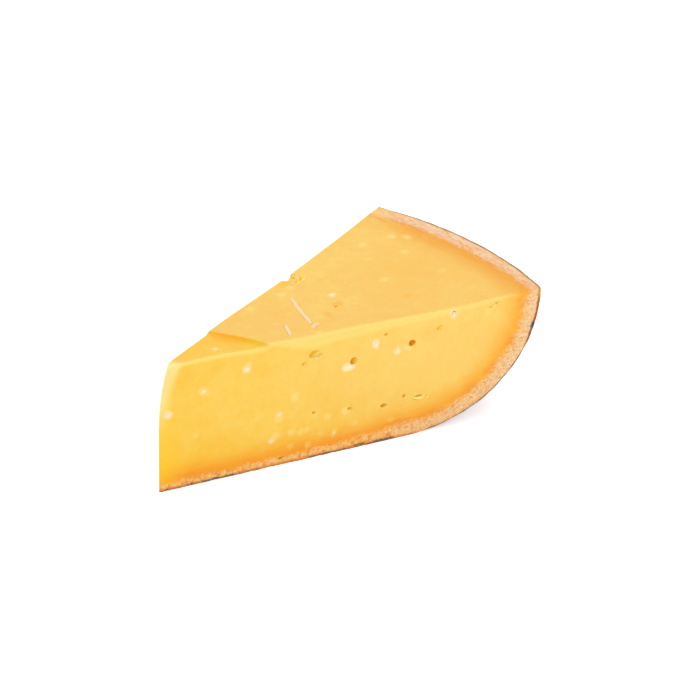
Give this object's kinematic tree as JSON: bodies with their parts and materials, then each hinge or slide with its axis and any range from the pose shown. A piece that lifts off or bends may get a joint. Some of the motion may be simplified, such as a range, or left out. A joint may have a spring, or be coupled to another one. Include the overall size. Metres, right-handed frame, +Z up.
{
  "type": "cheese wedge",
  "caption": "Wedge of hard aged cheese from half a wheel, with a dished cut top, a blunt point, small eyes and a thick curved rind.",
  "frame": {"origin": "on the surface it rests on, under the middle of its length and width", "axes": "+X from the blunt point to the rind along the middle of the wedge, +Z up"},
  "size_m": [0.1756, 0.1042, 0.0587],
  "materials": {
    "cheese": "waxy pale yellow cut paste, deeper orange beside a grainy peach rind with a thin brown skin"
  },
  "bodies": {
    "root": {"cheese_wedge": "cheese"}
  },
  "joints": []
}
